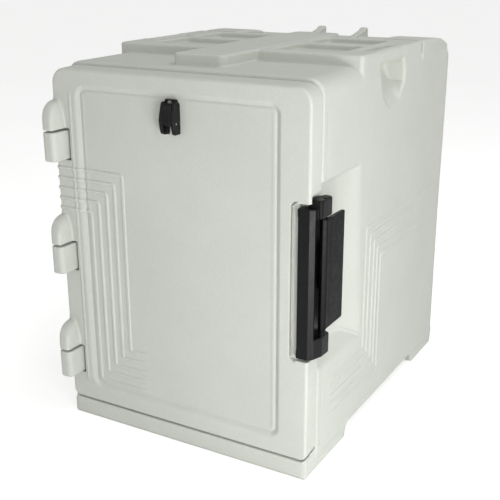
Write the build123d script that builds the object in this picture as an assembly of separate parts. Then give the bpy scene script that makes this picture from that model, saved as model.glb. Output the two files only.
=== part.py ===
from build123d import *
from functools import reduce
from operator import add
import math
import os

# Front-loading insulated carrier for full-size food pans.
# Millimetres, +Z up. Origin on the floor under the middle of the carrier,
# door towards -Y, hinges on -X, latch on +X.
# Helpers take y measured from the door front; only edge selectors use world Y.

# ---------------------------------------------------------------- dimensions
WIDTH = 460.0
HALF_W = WIDTH / 2
DEPTH = 610.0            # door front to body back
FRONT = -DEPTH / 2       # world Y of the door front face
BODY_TOP = 617.0
TOP = BODY_TOP + 18      # top of the raised cross
PAD_TOP = TOP - 1        # top of the band, shoulders and handles
INSET = 2.0              # sill and raised top stand in from the sides
SKIN = 4.0               # polyethylene wall
EDGE_R = 26.0            # rounding of the long edges

DOOR_T = 37.5            # door thickness
SEAM = 1.5               # gap between door and body
BODY_F = DOOR_T + SEAM   # front face of the body collar
DOOR_TOP = 611.5         # a little below the body
DOOR_FRONT_R = 4.5
DOOR_REAR_R = 3.0
CORNER_R = 12.0          # lower corners of the door, seen from the front

UNDERSIDE = 22.5         # height above the floor
FRONT_FOOT_END = 150.0
REAR_FOOT = (470.0, 604.0)
SILL_TOP = 30.5
SILL_REAR = SILL_TOP + 4.0   # the sill climbs towards the body
SILL_GAP = 2.5
DOOR_BOTTOM = SILL_TOP + SILL_GAP
CORNER_X = HALF_W - CORNER_R
CORNER_Z = DOOR_BOTTOM + CORNER_R

CAVITY_X = 334.0 / 2     # half width of the pan cavity
CAVITY_Z0, CAVITY_Z1 = 66.0, 574.0
CAVITY_BACK = 580.0
RAIL_REACH = 14.0
RAIL_T = 9.0
RAIL_PITCH = 38.0
RAIL_COUNT = 12
FIRST_RAIL = 34.0        # above the cavity floor

HINGE_X, HINGE_Y = -219.5, -18.0    # the hinges stand in front of the door
KNUCKLE_X0, KNUCKLE_X1 = -229.5, -204.5
KNUCKLE_OUT = 33.0       # reach in front of the door
KNUCKLE_R = 8.5          # rounding of the front corners
HINGE_JOINTS = (133.0, 323.0, 513.0)  # joints between body and door knuckles
DOOR_KNUCKLE_H = 50.0
BODY_KNUCKLE_H = 48.5
PIN_R = 4.5
PIN_DOWN, PIN_UP = 40.0, 15.0       # pin below and above the joint
BUSH_R = 6.5
BUSH_TOP = 17.0          # above the joint
RUN = 0.06               # radial running clearance

LATCH_Z0, LATCH_Z1 = 208.0, 440.0
OPENING_Z0, OPENING_Z1 = LATCH_Z0 + 32, LATCH_Z1 - 16   # bracket opening for the paddle
PIVOT_X, PIVOT_Y = 240.0, 26.0
PIVOT_R = 6.0
LATCH_PIN_R = 2.5
LATCH_SCREW_Y = 11.0
LATCH_SCREW_Z = (268.0, 353.0)
LATCH_SCREW_SEAT = 226.5
LATCH_SCREW_R = 2.5
LATCH_INSERT = (200.0, 210.5)       # x range
POCKET_FLOOR = 208.0     # x of the pocket floor behind the paddle
KEEPER_SCREW_Y = 84.0
KEEPER_SCREW_Z = (300.0, 376.0)
KEEPER_SCREW_R = 2.0
KEEPER_INSERT = (194.0, POCKET_FLOOR)
INSERT_R = 4.0

PANEL_X = 179.0          # half width of the recessed door panel
PANEL_Z0, PANEL_Z1 = 65.0, 582.0
PANEL_DEPTH = 3.0
NOSE_BACK = DOOR_T + 13  # back of the part of the door that enters the cavity
GASKET_X = 189.0         # outer half width
GASKET_Z0, GASKET_Z1 = 50.0, 594.0
GASKET_W = 12.0
GASKET_Y = DOOR_T - 5    # bottom of its groove

VENT_Z = 561.0
TUBE_R = 5.0             # vent bore
TUBE_OUT_R = TUBE_R + 1.5
VENT_FACE = -2.5         # front of the vent housing plate
VENT_HALF_W = 13.5
VENT_PIN_Y, VENT_PIN_Z = -7.0, 542.0
VENT_PIN_R = 1.6
VENT_SCREW_Z = (572.0, 549.5)
VENT_SCREW_R = 1.8
VENT_SCREW_END = 16.0

BODY_PORT = (60, DEPTH / 2)         # x, y of the filling ports
BODY_PORT_R = 16.0
DOOR_PORT = (-60.0, 20.0)
DOOR_PORT_R = 7.0
DOOR_FOAM_Z0 = 60


# ------------------------------------------------------------------- helpers
def block(x0, x1, y0, y1, z0, z1):
    centre = Pos((x0 + x1) / 2, FRONT + (y0 + y1) / 2, (z0 + z1) / 2)
    return centre * Box(abs(x1 - x0), abs(y1 - y0), abs(z1 - z0))


def rounded_block(x0, x1, y0, y1, z0, z1, radius, axis):
    """Block with the edges along one axis rounded."""
    b = block(x0, x1, y0, y1, z0, z1)
    return fillet(b.edges().filter_by(axis), radius)


def rod_x(y, z, radius, x0, x1):
    centre = Pos((x0 + x1) / 2, FRONT + y, z)
    return centre * Rot(0, 90, 0) * Cylinder(radius, abs(x1 - x0))


def rod_y(x, z, radius, y0, y1):
    centre = Pos(x, FRONT + (y0 + y1) / 2, z)
    return centre * Rot(90, 0, 0) * Cylinder(radius, abs(y1 - y0))


def rod_z(x, y, radius, z0, z1):
    return Pos(x, FRONT + y, (z0 + z1) / 2) * Cylinder(radius, abs(z1 - z0))


def plate_xy(points, z0, z1):
    """(x, y) outline in plan, extruded upwards."""
    face = make_face(Polyline(*[(x, FRONT + y) for x, y in points], close=True))
    return Pos(0, 0, z0) * extrude(face, z1 - z0)


def face_yz(points, x):
    return make_face(Polyline(*[(x, FRONT + y, z) for y, z in points], close=True))


def plate_yz(points, x0, x1):
    """(y, z) outline seen from the side, extruded along X."""
    return extrude(face_yz(points, x0), x1 - x0, dir=(1, 0, 0))


def plate_xz(points, y0, y1):
    """(x, z) outline seen from the front, extruded along Y."""
    face = make_face(Polyline(*[(x, FRONT + y0, z) for x, z in points], close=True))
    return extrude(face, y1 - y0, dir=(0, 1, 0))


def mirror_x(shape):
    return mirror(shape, about=Plane.YZ)


def union(shapes):
    return reduce(add, shapes)


def edges_at(shape, axis, value):
    """Edges whose centre lies at a world coordinate ("X", "Y" or "Z")."""
    return [e for e in shape.edges() if abs(getattr(e.center(), axis) - value) < 0.1]


def screw_x(y, z, seat, length, head_r, shank_r):
    """Cross-slotted pan head screw along X, head on the +X side of its seat."""
    top = seat + 2.6
    head = rod_x(y, z, head_r, seat, top)
    head = fillet(edges_at(head, "X", top), 1.0)
    screw = head + rod_x(y, z, shank_r, seat - length, seat)
    slot = head_r * 0.6
    screw = screw - block(top - 1.3, top + 1, y - slot, y + slot, z - 0.5, z + 0.5)
    return screw - block(top - 1.3, top + 1, y - 0.5, y + 0.5, z - slot, z + slot)


def insert_x(y, z, span, bore_r):
    """Sleeve along X that takes a screw."""
    x0, x1 = span
    return rod_x(y, z, INSERT_R, x0, x1) - rod_x(y, z, bore_r, x0 - 1, x1 + 1)


def insert_seat(y, z, span):
    return rod_x(y, z, INSERT_R, span[0], span[1] + 1)


def save(name, *shapes):
    solids = [s for shape in shapes for s in shape.solids()]
    part = Compound(children=solids) if len(solids) > 1 else solids[0]
    part.label = name
    export_step(part, "parts/" + name + ".step")


# ---------------------------------------------------------------------- body
# channels cut in the runners, clearing the raised pattern of a carrier below:
# x0, x1, y0, y1, top
CHANNELS = [
    (-50, 50, 64, 506, 20.5),
    (-49, -27, 492, 620, 22.8),
    (42, 64, 492, 620, 22.8),
    (-146, -216, 448, 600, 20.5),
    (-46, -148, 548, 600, 8),
    (146, 216, 448, 600, 20.5),
    (46, 148, 548, 600, 8),
]
LIP = [  # x, y of the curled-up end of the sill
    (CORNER_X, 0.3), (223, 2.2), (226.5, 5.5), (HALF_W - INSET, 10),
    (HALF_W - INSET, BODY_F + 2), (CORNER_X, BODY_F + 2),
]
SHOULDER = [  # y, z
    (452, 588), (452, PAD_TOP), (496, PAD_TOP), (524, TOP - 3), (548, TOP - 6),
    (566, TOP - 11), (582, TOP - 17), (595, TOP - 25), (603, TOP - 36), (604, 588),
]
RIM = [(552, 604), (556, 621), (560, 623), (579, 623), (586, 620), (592, 613), (595, 604)]  # y, z
TAB = [  # y, z: a long ramp up to a low tab
    (498, 610), (502, 618), (584, PAD_TOP), (590, TOP + 2.5), (594, TOP + 3.5),
    (600, TOP + 3.5), (603, TOP + 1), (604, TOP - 2), (604, 596),
]
SCOOP = [(248, 660), (357, 660), (357, 575), (335, 548), (290, 540), (262, 560), (248, 600)]  # y, z
# stepped side ribs: y of the upright, z of the upper leg, z of the lower leg
SIDE_RIBS = [(212, 352, 137), (230, 336, 121), (248, 320, 105), (265, 303, 88.5), (281, 287, 72.5)]
SIDE_RIB_W = 5
GROOVE_Y = 53.0


def make_envelope():
    """Plain rounded body behind the door."""
    outline = [(BODY_F, UNDERSIDE), (DEPTH, UNDERSIDE), (DEPTH, BODY_TOP), (BODY_F, BODY_TOP)]
    body = plate_yz(outline, -HALF_W, HALF_W)
    long_edges = [
        e for e in body.edges()
        if (abs(abs(e.center().X) - HALF_W) < 0.1 and e.center().Z > 500 and e.length > 400)
        or (e.center().Y > FRONT + DEPTH - 0.1 and e.center().Z > UNDERSIDE + 1)
    ]
    body = fillet(long_edges, EDGE_R)
    low = [e for e in edges_at(body, "Z", UNDERSIDE) if e.center().Y > FRONT + BODY_F + 5]
    return fillet(low, 8.0)


def make_runners():
    """Front and rear runners the carrier stands on."""
    half, top = HALF_W - 0.5, UNDERSIDE + 6
    end = FRONT_FOOT_END
    front = [(2, 0), (end - 8, 0), (end, top), (BODY_F, top), (2, UNDERSIDE + 2)]
    y0, y1 = REAR_FOOT
    rear = [(y0 + 8, 0), (y1 - 12, 0), (y1, top), (y0, top)]
    return plate_yz(front, -half, half), plate_yz(rear, -half, half)


def make_sill():
    """Sill under the door; its ends curl up round the lower door corners."""
    half = HALF_W - INSET
    outline = [
        (0, 2), (BODY_F + 8, 2), (BODY_F + 8, SILL_REAR + 8), (BODY_F, SILL_REAR + 4),
        (BODY_F, SILL_REAR), (BODY_F - 4, SILL_REAR), (8, SILL_TOP), (0, SILL_TOP),
    ]
    sill = plate_yz(outline, -half, half)
    corners = [e for e in sill.edges().filter_by(Axis.Z) if e.center().Y < FRONT + 1]
    sill = fillet(corners, 10.0)
    limit = block(-half, half, -5, 60, 2, 90)
    limit_low = [e for e in limit.edges().filter_by(Axis.Y) if e.center().Z < 10]
    sill = sill & fillet(limit_low, 14.0)
    lip = plate_xy(LIP, SILL_TOP - 1, SILL_TOP + 8)
    lip = lip - rod_y(CORNER_X, CORNER_Z, CORNER_R + SILL_GAP, -3, BODY_F + 5)
    return sill + lip + mirror_x(lip)


def make_collar_groove():
    """Shallow groove down each side that sets off the front collar."""
    y0, y1 = GROOVE_Y - 1.2, GROOVE_Y + 1.2
    return union(
        block(side * (HALF_W + 1), side * (HALF_W - 1.6), y0, y1, 45, 560) for side in (-1, 1)
    )


def lug(x0, x1, y0, y1, top, radius, sink):
    """Raised pad with rounded corners, sunk into the top of the body."""
    pad = rounded_block(x0, x1, y0, y1, BODY_TOP - sink, top, radius, Axis.Z)
    return fillet(edges_at(pad, "Z", top), 3.0)


def make_top():
    """Raised cross, rear rim and shoulders, with four pits."""
    half = HALF_W - INSET
    cross = lug(-46, 46, 73, 500, TOP, 9.0, 12.0)
    band = lug(-half, half, 178, 440, PAD_TOP, 6.0, 32.0)
    shoulder = plate_yz(SHOULDER, 150, half)
    limit = rounded_block(-half, half, 420, 606, 560, 660, EDGE_R, Axis.Z)
    crown = block(150, half, 440, 620, 560, PAD_TOP)
    crown = fillet([e for e in crown.edges().filter_by(Axis.Y) if e.center().Z > TOP - 2], 7.0)
    shoulder = shoulder & limit & crown
    top = cross + band + plate_yz(RIM, -156, 156) + shoulder + mirror_x(shoulder)
    for side in (-1, 1):
        for y0, y1 in ((206, 306), (330, 418)):
            top = top - rounded_block(
                side * 58, side * 176, y0, y1, TOP - 10, TOP + 10, 10.0, Axis.Z
            )
    return top


def add_handles(body):
    """A bar left standing over a scoop in each side."""
    scoop = plate_yz(SCOOP, 190, 232)
    scoop = fillet(scoop.edges().filter_by(Axis.X), 10.0)
    bar = rounded_block(208, 228, 236, 369, 612, PAD_TOP, 7.0, Axis.Y)
    body = body - mirror_x(scoop) + mirror_x(bar)
    return body - scoop + bar


def make_pocket(grow):
    """Tapered pocket behind the latch paddle, grown outwards by a wall."""
    y0 = BODY_F - 2
    mouth = [
        (y0, 469 + grow), (176 + grow, 469 + grow), (198 + grow, 186 - grow),
        (188 + grow, 172 - grow), (y0, 186 - grow),
    ]
    floor = [
        (y0, 456 + grow), (140 + grow, 456 + grow), (150 + grow, 206 - grow),
        (144 + grow, 200 - grow), (y0, 200 - grow),
    ]
    outer = face_yz(mouth, HALF_W + 2)
    inner = face_yz(floor, POCKET_FLOOR - grow)
    return loft([inner, outer], ruled=True)


def make_side_ribs():
    x0, x1, w = HALF_W - 1, HALF_W + 1.4, SIDE_RIB_W
    return union(
        block(x0, x1, y, y + w, low, high + w)
        + block(x0, x1, 84, y + w, low, low + w)
        + block(x0, x1, y, y + 74, high, high + w)
        for y, high, low in SIDE_RIBS
    )


def knuckle_column(y1, z0, z1):
    """Upright hinge block with rounded front corners."""
    column = block(KNUCKLE_X0, KNUCKLE_X1, -KNUCKLE_OUT, y1, z0, z1)
    front = edges_at(column, "Y", FRONT - KNUCKLE_OUT)
    return fillet([e for e in front if e.length > z1 - z0 - 1], KNUCKLE_R)


def make_body():
    """Outside of the body, still solid."""
    body = make_envelope()
    front_runner, rear_runner = make_runners()
    channels = union(block(x0, x1, y0, y1, -1, top) for x0, x1, y0, y1, top in CHANNELS)
    body = body + front_runner + rear_runner + make_sill() - channels
    body = body - make_collar_groove()
    body = body + make_top() + plate_yz(TAB, -45, -31) + plate_yz(TAB, 46, 60)
    body = add_handles(body)
    body = body - make_pocket(0)
    ribs = make_side_ribs()
    body = body + ribs + mirror_x(ribs)
    # lower knuckles pass through the door and stand out in front of it
    for joint in HINGE_JOINTS:
        body = body + knuckle_column(BODY_F + 4, joint - BODY_KNUCKLE_H, joint - 1)
    for joint in HINGE_JOINTS:
        body = body - rod_z(HINGE_X, HINGE_Y, PIN_R, joint - PIN_DOWN, joint + 5)
    return body


def make_cavity():
    """Pan cavity, less its moulded rails."""
    cavity = rounded_block(
        -CAVITY_X, CAVITY_X, BODY_F - 5, CAVITY_BACK, CAVITY_Z0, CAVITY_Z1, 12.0, Axis.Y
    )
    heights = [CAVITY_Z0 + FIRST_RAIL + i * RAIL_PITCH for i in range(RAIL_COUNT)]
    rails = union(
        block(side * (CAVITY_X + 2), side * (CAVITY_X - RAIL_REACH),
              66, CAVITY_BACK - 26, z, z + RAIL_T)
        for z in heights for side in (-1, 1)
    )
    return cavity - rails


def make_body_foam():
    """Insulation that fills the hollow wall."""
    half, y0, z0 = HALF_W - SKIN, BODY_F + SKIN, UNDERSIDE + SKIN
    foam = block(-half, half, y0, DEPTH - SKIN, z0, BODY_TOP - SKIN)
    long_edges = [
        e for e in foam.edges()
        if (e.center().Z > 500 and abs(e.center().Y - FRONT - y0) > 1)
        or (e.center().Y > FRONT + DEPTH - SKIN - 1 and e.center().Z > z0 + 1)
    ]
    foam = fillet(long_edges, EDGE_R - SKIN)
    # sill and front runner
    for side in (-1, 1):
        x0, x1 = side * 48, side * (HALF_W - 14)
        foam = foam + block(x0, x1, 14, 50, 6, 25)
        foam = foam + block(x0, x1, 46, FRONT_FOOT_END - 14, 5, UNDERSIDE + 8)
    foam = foam + block(-40, 40, 79, 494, BODY_TOP - 8, TOP - 5)
    foam = foam - block(
        -CAVITY_X - SKIN, CAVITY_X + SKIN, BODY_F - 5, CAVITY_BACK + SKIN,
        CAVITY_Z0 - SKIN, CAVITY_Z1 + SKIN,
    )
    # solid plastic round the handles, the pocket and the keeper inserts
    for side in (-1, 1):
        foam = foam - block(side * 184, side * 240, 240, 365, 532, 640)
    foam = foam - make_pocket(SKIN)
    foam = foam - block(200, 240, 30, 210, 160, 482)
    for z in KEEPER_SCREW_Z:
        foam = foam - rod_x(KEEPER_SCREW_Y, z, 8.0, 188, 212)
    return foam


def make_body_shell(foam):
    shell = make_body() - make_cavity() - foam
    shell = shell - rod_z(*BODY_PORT, BODY_PORT_R, 0, UNDERSIDE + SKIN)
    for z in KEEPER_SCREW_Z:
        shell = shell - insert_seat(KEEPER_SCREW_Y, z, KEEPER_INSERT)
    return shell


def make_body_plug():
    """Plug in the foam filling port, dished from below."""
    plug = rod_z(*BODY_PORT, BODY_PORT_R, UNDERSIDE, UNDERSIDE + SKIN)
    return plug - rod_z(*BODY_PORT, BODY_PORT_R - 4, UNDERSIDE - 1, UNDERSIDE + 2.5)


def make_keeper():
    """Plate on the pocket floor with a catch ridge."""
    x = POCKET_FLOOR
    keeper = rounded_block(x, x + 4, 44, 96, 284, 392, 6.0, Axis.X)
    ridge = [(x + 3, 46), (x + 18, 51), (x + 20, 54), (x + 20, 58), (x + 3, 58)]
    keeper = keeper + plate_xy(ridge, 292, 384)
    for z in KEEPER_SCREW_Z:
        keeper = keeper - rod_x(KEEPER_SCREW_Y, z, KEEPER_SCREW_R + 0.1, x - 1, x + 6)
    return keeper


# -------------------------------------------------------------------- hinges
def hinge_pin(joint):
    """Pin that stands in a body knuckle."""
    pin = rod_z(HINGE_X, HINGE_Y, PIN_R, joint - PIN_DOWN, joint + PIN_UP)
    return chamfer(edges_at(pin, "Z", joint + PIN_UP), 1.0)


def hinge_bush(joint):
    bush = rod_z(HINGE_X, HINGE_Y, BUSH_R, joint + 0.5, joint + BUSH_TOP)
    return bush - rod_z(HINGE_X, HINGE_Y, PIN_R + RUN, joint - 1, joint + 30)


def door_knuckle(joint):
    """Column that runs out upwards like half a bullet."""
    z0, z1 = joint + 1.0, joint + DOOR_KNUCKLE_H
    knuckle = knuckle_column(4, z0, z1 + 2)
    angles = [math.radians(t) for t in range(0, 91, 10)]
    arc = [(math.sin(a), math.cos(a)) for a in angles]
    # side view: a quarter of an ellipse
    reach = KNUCKLE_OUT + 0.3
    side = [(-reach * s, joint + 5 + (z1 - joint - 5) * c) for s, c in arc]
    side = [(5, z1)] + side + [(-reach, z0 - 1), (5, z0 - 1)]
    knuckle = knuckle & plate_yz(side, KNUCKLE_X0 - 2, KNUCKLE_X1 + 2)
    # front view: leans in from the +X side
    left = KNUCKLE_X0 - 2
    front = [(-226 + 19.0 * s, joint + 3 + (z1 + 1 - joint - 3) * c) for s, c in arc]
    front = [(left, z1 + 1)] + front + [(KNUCKLE_X1, z0 - 1), (left, z0 - 1)]
    return knuckle & plate_xz(front, -KNUCKLE_OUT - 2, 6)


# ---------------------------------------------------------------------- door
# nested ribs on the panel: right side of the upright, top of the upper leg,
# top of the lower leg
DOOR_RIBS = [(-98, 451, 148), (-115, 434, 131), (-131, 417, 114), (-148, 400, 97), (-164, 383, 80)]
DOOR_RIB_W = 4.5


def make_door_slab():
    outline = [
        (0, DOOR_BOTTOM), (8, DOOR_BOTTOM), (DOOR_T, SILL_REAR + 2),
        (DOOR_T, DOOR_TOP), (0, DOOR_TOP - 1.5),
    ]
    door = plate_yz(outline, -HALF_W, HALF_W)
    upper = [
        e for e in door.edges()
        if abs(abs(e.center().X) - HALF_W) < 0.1 and e.center().Z > DOOR_TOP - 3
    ]
    door = fillet(upper, EDGE_R)
    front = [e for e in edges_at(door, "Y", FRONT) if e.length > 10]
    # if the whole front outline cannot be rounded, its bottom edge stays sharp
    try:
        door = fillet(front, DOOR_FRONT_R)
    except Exception:
        door = fillet([e for e in front if e.center().Z > SILL_TOP + 10], DOOR_FRONT_R)
    rear = [e for e in edges_at(door, "Y", FRONT + DOOR_T) if e.length > 10]
    door = fillet(rear, DOOR_REAR_R)
    # rounded lower corners
    for side in (-1, 1):
        x = side * CORNER_X
        corner = block(x, side * (HALF_W + 5), -5, DOOR_T + 5, SILL_TOP - 5, CORNER_Z)
        door = door - (corner - rod_y(x, CORNER_Z, CORNER_R, -6, DOOR_T + 6))
    return door


def panel_block(inset, y0, y1, radius):
    """Rounded block as large as the door panel, less an inset all round."""
    x = PANEL_X - inset
    return rounded_block(-x, x, y0, y1, PANEL_Z0 + inset, PANEL_Z1 - inset, radius, Axis.Y)


def make_door_ribs():
    y0, y1, w = PANEL_DEPTH - 1.6, PANEL_DEPTH + 1, DOOR_RIB_W
    return union(
        block(x - w, x, y0, y1, low - w, high)
        + block(-180, x, y0, y1, high - w, high)
        + block(x - w, -62, y0, y1, low - w, low)
        + block(-215, -178.5, -1.3, 2, high - w, high)
        for x, high, low in DOOR_RIBS
    )


def gasket_ring(inset, y0, y1, width):
    """Rectangular ring, inset from the outer outline of the gasket."""
    x, z0, z1 = GASKET_X - inset, GASKET_Z0 + inset, GASKET_Z1 - inset
    outer = rounded_block(-x, x, y0, y1, z0, z1, 16.0, Axis.Y)
    x, z0, z1 = x - width, z0 + width, z1 - width
    return outer - rounded_block(-x, x, y0 - 1, y1 + 1, z0, z1, 20.0 - width, Axis.Y)


def make_door():
    """Outside of the door, still solid."""
    door = make_door_slab()
    door = door - panel_block(0, -2, PANEL_DEPTH, 14.0)
    # narrow sunk line round the panel
    line = panel_block(4, PANEL_DEPTH - 0.5, PANEL_DEPTH + 1.0, 11.0)
    door = door - (line - panel_block(7, PANEL_DEPTH - 1, PANEL_DEPTH + 2, 9.0))
    door = door + make_door_ribs()
    # nose that enters the cavity mouth
    nose = rounded_block(-155, 155, DOOR_T - 2, NOSE_BACK, 78, 562, 14.0, Axis.Y)
    door = door + chamfer(edges_at(nose, "Y", FRONT + NOSE_BACK), 4.0)
    # notches for the body knuckles
    for joint in HINGE_JOINTS:
        z0 = joint - BODY_KNUCKLE_H - 2
        door = door - block(-HALF_W - 5, KNUCKLE_X1 + 4, -5, DOOR_T + 5, z0, joint + 1)
    for joint in HINGE_JOINTS:
        door = door + door_knuckle(joint)
    for joint in HINGE_JOINTS:
        door = door - rod_z(HINGE_X, HINGE_Y, BUSH_R, joint - 1, joint + BUSH_TOP)
    # stepped latch seat in the +X edge: x0, y0, y1, margin above the latch
    for x0, y0, y1, above in ((202, -5, 6, 6), (210.5, -5, 16, 6), (221, 7, DOOR_T + 5, 17)):
        door = door - block(x0, HALF_W + 5, y0, y1, LATCH_Z0 - 5, LATCH_Z1 + above)
    return door - gasket_ring(0, GASKET_Y, DOOR_T + 1, GASKET_W)


def make_gasket():
    gasket = gasket_ring(0, GASKET_Y, BODY_F, GASKET_W)
    return gasket - gasket_ring(4, DOOR_T - 1, BODY_F + 1, GASKET_W - 8)


def make_door_foam():
    foam = block(-194, 194, PANEL_DEPTH + 4.5, DOOR_T - 9.5, DOOR_FOAM_Z0, 590)
    foam = foam + block(-150, 150, DOOR_T - 10, DOOR_T + 8, 84, 556)
    # solid plastic round the vent, its screws and the latch inserts
    foam = foam - rod_y(0, VENT_Z, TUBE_R + 5, -30, 80)
    for z in VENT_SCREW_Z:
        foam = foam - rod_y(0, z, 6, -30, 24)
    return foam - block(186, 240, 0, 50, 240, 380)


def make_door_shell(foam):
    shell = make_door() - foam - rod_z(*DOOR_PORT, DOOR_PORT_R, 20, DOOR_FOAM_Z0)
    shell = shell - rod_y(0, VENT_Z, TUBE_OUT_R, -30, 80)
    for z in LATCH_SCREW_Z:
        shell = shell - insert_seat(LATCH_SCREW_Y, z, LATCH_INSERT)
    for z in VENT_SCREW_Z:
        shell = shell - rod_y(0, z, VENT_SCREW_R, -10, VENT_SCREW_END)
    return shell


def make_door_plug():
    """Plug in the filling port under the door, hollow from below."""
    plug = rod_z(*DOOR_PORT, DOOR_PORT_R, SILL_TOP + 12, DOOR_FOAM_Z0)
    return plug - rod_z(*DOOR_PORT, DOOR_PORT_R - 2.5, SILL_TOP + 5, DOOR_FOAM_Z0 - 6)


# --------------------------------------------------------------------- latch
# x, y outlines in plan
BRACKET = [
    (211, -1.4), (212.5, -3), (230.5, -3), (237.5, 4), (237.5, 46),
    (231, 46), (229, 40), (221, 36), (221, 16), (211, 16),
]
EAR = [
    (223, 10), (242, 10), (244.5, 14), (244.5, 42), (241, 46), (231, 46), (229, 40), (223, 36),
]
CHEEK = [(229, -1.5), (237.5, 4), (243.5, 20), (244.5, 42), (241, 46), (229, 46)]
GRIP = [
    (237.6, 22.5), (241.0, 18.8), (246.6, 23.4), (247.0, 40), (247.0, 82), (245.4, 84.4),
    (242.6, 84.4), (241.0, 82), (240.4, 76), (240, 40), (238.4, 31),
]
HOOK = [
    (241.5, 52), (241.5, 70), (232, 70), (224, 67), (220, 64),
    (219.5, 58.6), (223, 58.6), (229, 59.5), (233, 54),
]


def make_bracket():
    bracket = plate_xy(BRACKET, LATCH_Z0, LATCH_Z1)
    ear = plate_xy(EAR, OPENING_Z1, LATCH_Z1 + 12)
    cheek = plate_xy(CHEEK, LATCH_Z0, OPENING_Z0)
    bracket = bracket + ear + cheek
    bracket = bracket - block(LATCH_SCREW_SEAT, 240, 5, 18, 232, OPENING_Z1)
    bracket = bracket - block(230, 250, 17.5, 50, OPENING_Z0, OPENING_Z1)
    # pivot lugs below and above the paddle
    lug_r = PIVOT_R + 1.0
    for z0, z1 in ((LATCH_Z0 + 4, OPENING_Z0), (OPENING_Z1, LATCH_Z1 + 8)):
        pivot_lug = rod_z(PIVOT_X, PIVOT_Y, lug_r, z0, z1) + block(
            229, PIVOT_X, PIVOT_Y - lug_r, PIVOT_Y + lug_r, z0, z1
        )
        bracket = bracket + pivot_lug
    bracket = bracket - rod_z(PIVOT_X, PIVOT_Y, LATCH_PIN_R, LATCH_Z0 - 5, LATCH_Z1 + 20)
    for z in LATCH_SCREW_Z:
        bracket = bracket - rod_x(LATCH_SCREW_Y, z, LATCH_SCREW_R + 0.1, 205, 240)
    return bracket


def make_paddle():
    """Pivot barrel, grip and the hook that takes the keeper ridge."""
    z0, z1 = OPENING_Z0 + 1, OPENING_Z1 - 1
    paddle = rod_z(PIVOT_X, PIVOT_Y, PIVOT_R, z0, z1)
    paddle = paddle + plate_xy(GRIP, 252, z1 - 1)
    paddle = paddle + plate_xy(HOOK, 300, 376)
    return paddle - rod_z(PIVOT_X, PIVOT_Y, LATCH_PIN_R + RUN, z0 - 5, z1 + 5)


# ---------------------------------------------------------------------- vent
VENT_PLATE = [(-13.5, 526), (13.5, 526), (13.5, 570), (9, 577), (-9, 577), (-13.5, 570)]  # x, z
VENT_CHEEK = [  # y, z
    (-2.6, 572), (-6, 574), (-9, 572), (-14, 556), (-16, 548), (-14.5, 538),
    (-12, 527), (-6, 524), (PANEL_DEPTH, 524), (PANEL_DEPTH, 572),
]
LEVER = [  # y, z
    (-5.5, 571), (-9, 572), (-12, 569), (-14.5, 556), (-17, 548), (-15.5, 541.5), (-13, 538.8),
    (-9.5, 538.4), (-7, 538.2), (-4.4, 539.4), (-3.4, 542), (-4.2, 545), (-8, 549), (-8.5, 566),
]
SLOT_X, SLOT_Z = 5.5, 532     # half width and round end of the slot under the lever
STEM_R = 2.0
DISC_R = 6.4


def make_vent_housing():
    """Back plate with a cheek on each side of the lever."""
    housing = plate_xz(VENT_PLATE, VENT_FACE, PANEL_DEPTH)
    housing = housing + plate_yz(VENT_CHEEK, -VENT_HALF_W, VENT_HALF_W)
    housing = housing - block(-8, 8, -30, VENT_FACE, 500, 590)
    housing = housing - block(-SLOT_X, SLOT_X, -30, PANEL_DEPTH + 1, 500, SLOT_Z)
    housing = housing - rod_y(0, SLOT_Z, SLOT_X, -30, PANEL_DEPTH + 1)
    housing = housing - rod_y(0, VENT_Z, TUBE_OUT_R, -30, 20)
    housing = housing - rod_x(VENT_PIN_Y, VENT_PIN_Z, VENT_PIN_R, -20, 20)
    for z in VENT_SCREW_Z:
        housing = housing - rod_y(0, z, VENT_SCREW_R, -10, 10)
    return housing


def vent_screw(z):
    """Cross-slotted screw along Y, head towards the front."""
    head = rod_y(0, z, 3.4, VENT_FACE - 1.8, VENT_FACE)
    screw = head + rod_y(0, z, VENT_SCREW_R, VENT_FACE, VENT_SCREW_END)
    screw = screw - block(-2.2, 2.2, -6, -3.4, z - 0.4, z + 0.4)
    return screw - block(-0.4, 0.4, -6, -3.4, z - 2.2, z + 2.2)


def make_vent_tube():
    """Tube through the door, flanged behind the nose."""
    bore = rod_y(0, VENT_Z, TUBE_R, -10, 80)
    tube = rod_y(0, VENT_Z, TUBE_OUT_R, VENT_FACE, NOSE_BACK) - bore
    flange = rod_y(0, VENT_Z, TUBE_R + 7, NOSE_BACK, NOSE_BACK + 2) - bore
    return tube + flange


def make_vent_lever():
    lever = plate_yz(LEVER, -7.6, 7.6)
    lever = lever - rod_x(VENT_PIN_Y, VENT_PIN_Z, VENT_PIN_R + RUN, -20, 20)
    lever = lever - rod_y(0, VENT_Z, STEM_R, -11.0, -7)
    return lever - rod_y(0, VENT_Z, DISC_R, -8.0, -2.0)


def make_vent_plug():
    """Stem held in the lever, sealing disc, and a cone that enters the tube."""
    stem = rod_y(0, VENT_Z, STEM_R, -11.0, -7.5)
    disc = rod_y(0, VENT_Z, DISC_R, -7.9, VENT_FACE)
    cone = Pos(0, FRONT - 1.0, VENT_Z) * Rot(-90, 0, 0) * Cone(4.3, 3.2, 3.0)
    return stem + disc + cone


# --------------------------------------------------------------------- write
os.makedirs("parts", exist_ok=True)

body_foam = make_body_foam()
save("body_shell", make_body_shell(body_foam))
save("body_foam", body_foam)
save("body_fill_plug", make_body_plug())
save("latch_keeper", make_keeper())
save("keeper_screws", *[
    screw_x(KEEPER_SCREW_Y, z, POCKET_FLOOR + 4, 14, 4.0, KEEPER_SCREW_R) for z in KEEPER_SCREW_Z
])
save("keeper_inserts", *[
    insert_x(KEEPER_SCREW_Y, z, KEEPER_INSERT, KEEPER_SCREW_R) for z in KEEPER_SCREW_Z
])
save("hinge_pins", *[hinge_pin(joint) for joint in HINGE_JOINTS])
save("hinge_bushes", *[hinge_bush(joint) for joint in HINGE_JOINTS])

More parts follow.
